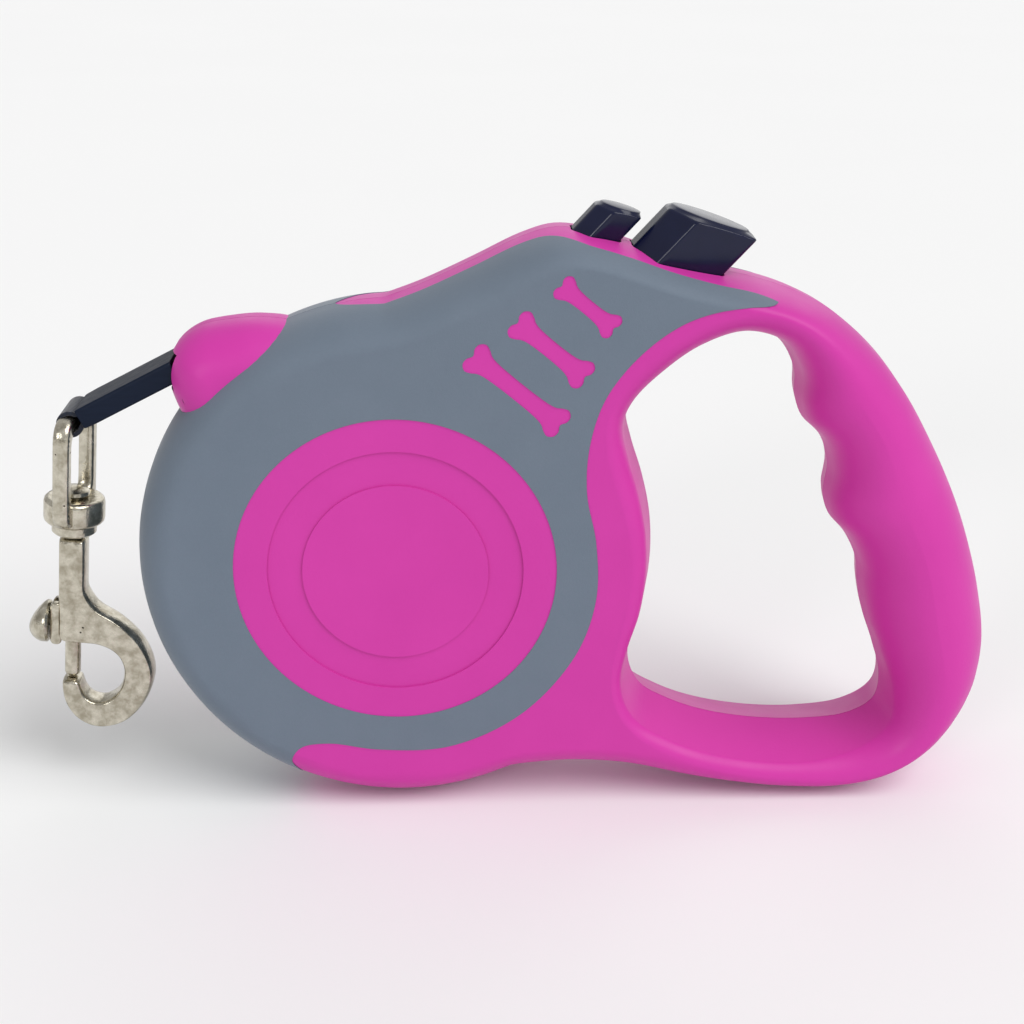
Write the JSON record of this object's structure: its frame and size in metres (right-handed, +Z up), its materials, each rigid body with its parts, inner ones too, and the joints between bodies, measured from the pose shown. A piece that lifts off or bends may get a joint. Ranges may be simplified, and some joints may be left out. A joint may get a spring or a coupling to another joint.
{
  "type": "retractable leash",
  "caption": "Retractable tape leash in a two-shell casing with finger-ridged grip, brake and lock buttons, sprung reel and swivelling bolt snap.",
  "frame": {"origin": "middle of the whole leash seen from above, on the surface that the upright casing stands on", "axes": "+X from the reel towards the hand grip, +Y from the front shell to the rear shell, +Z up"},
  "size_m": [0.1776, 0.0266, 0.1104],
  "materials": {
    "shell_pink": "satin moulded plastic",
    "skin_grey": "matte soft-touch rubber",
    "button_navy": "polished plastic",
    "tape_navy": "woven nylon tape",
    "sleeve_navy": "smooth rubber sleeve",
    "reel_white": "natural moulded plastic",
    "plain_steel": "bright drawn steel",
    "plated_nickel": "nickel-plated zinc casting, lightly pitted"
  },
  "bodies": {
    "casing": {"front_shell": "shell_pink", "rear_shell": "shell_pink", "front_grip_skin": "skin_grey", "rear_grip_skin": "skin_grey", "axle_pin": "plain_steel", "tape_lead": "tape_navy", "brake_spring": "plain_steel", "case_screw_1": "plain_steel", "case_screw_2": "plain_steel", "case_screw_3": "plain_steel", "case_screw_4": "plain_steel", "case_screw_5": "plain_steel", "case_screw_6": "plain_steel"},
    "spool": {"reel": "reel_white", "reel_cover": "reel_white", "clock_spring": "plain_steel", "tape_coil": "tape_navy"},
    "tape_end": {"tape_sleeve": "sleeve_navy", "tape_loop": "tape_navy"},
    "eye": {"swivel_eye": "plated_nickel"},
    "hook": {"hook_body": "plated_nickel", "bolt_spring": "plain_steel"},
    "bolt": {"snap_bolt": "plated_nickel"},
    "brake": {"brake_button": "button_navy"},
    "lock": {"lock_button": "button_navy"}
  },
  "joints": [
    {"name": "reel_spin", "type": "hinge", "parent": "casing", "child": "spool", "pos_m": [-0.02034, 0, 0.04782], "axis": [0, -1, 0], "range_deg": [0, 5580], "stiffness_Nm_per_rad": 0.0006, "springref_deg": -13349.92},
    {"name": "tape_payout", "type": "slide", "parent": "casing", "child": "tape_end", "axis": [-1, 0, 0], "range_m": [0, 2.95]},
    {"name": "eye_swing", "type": "hinge", "parent": "tape_end", "child": "eye", "pos_m": [-0.07674, 0, 0.07313], "axis": [0.1212, 0.9925, -0.0127], "range_deg": [-4, 95]},
    {"name": "hook_swivel", "type": "hinge", "parent": "eye", "child": "hook", "pos_m": [-0.07862, 0, 0.05523], "axis": [0.1045, 0, 0.9945], "continuous": true},
    {"name": "bolt_slide", "type": "slide", "parent": "hook", "child": "bolt", "axis": [0.1045, 0, 0.9945], "range_m": [0, 0.007], "stiffness_N_per_m": 400, "springref_m": -0.003, "deforming": ["bolt_spring"]},
    {"name": "brake_press", "type": "slide", "parent": "casing", "child": "brake", "axis": [-0.682, 0, -0.7314], "range_m": [0, 0.0032], "stiffness_N_per_m": 900, "springref_m": -0.002, "deforming": ["brake_spring"]},
    {"name": "lock_press", "type": "slide", "parent": "casing", "child": "lock", "axis": [-0.682, 0, -0.7314], "range_m": [0, 0.0025]}
  ],
  "couplings": [
    {"joint": "tape_payout", "follows": "reel_spin", "m_per_rad": 0.03025}
  ]
}
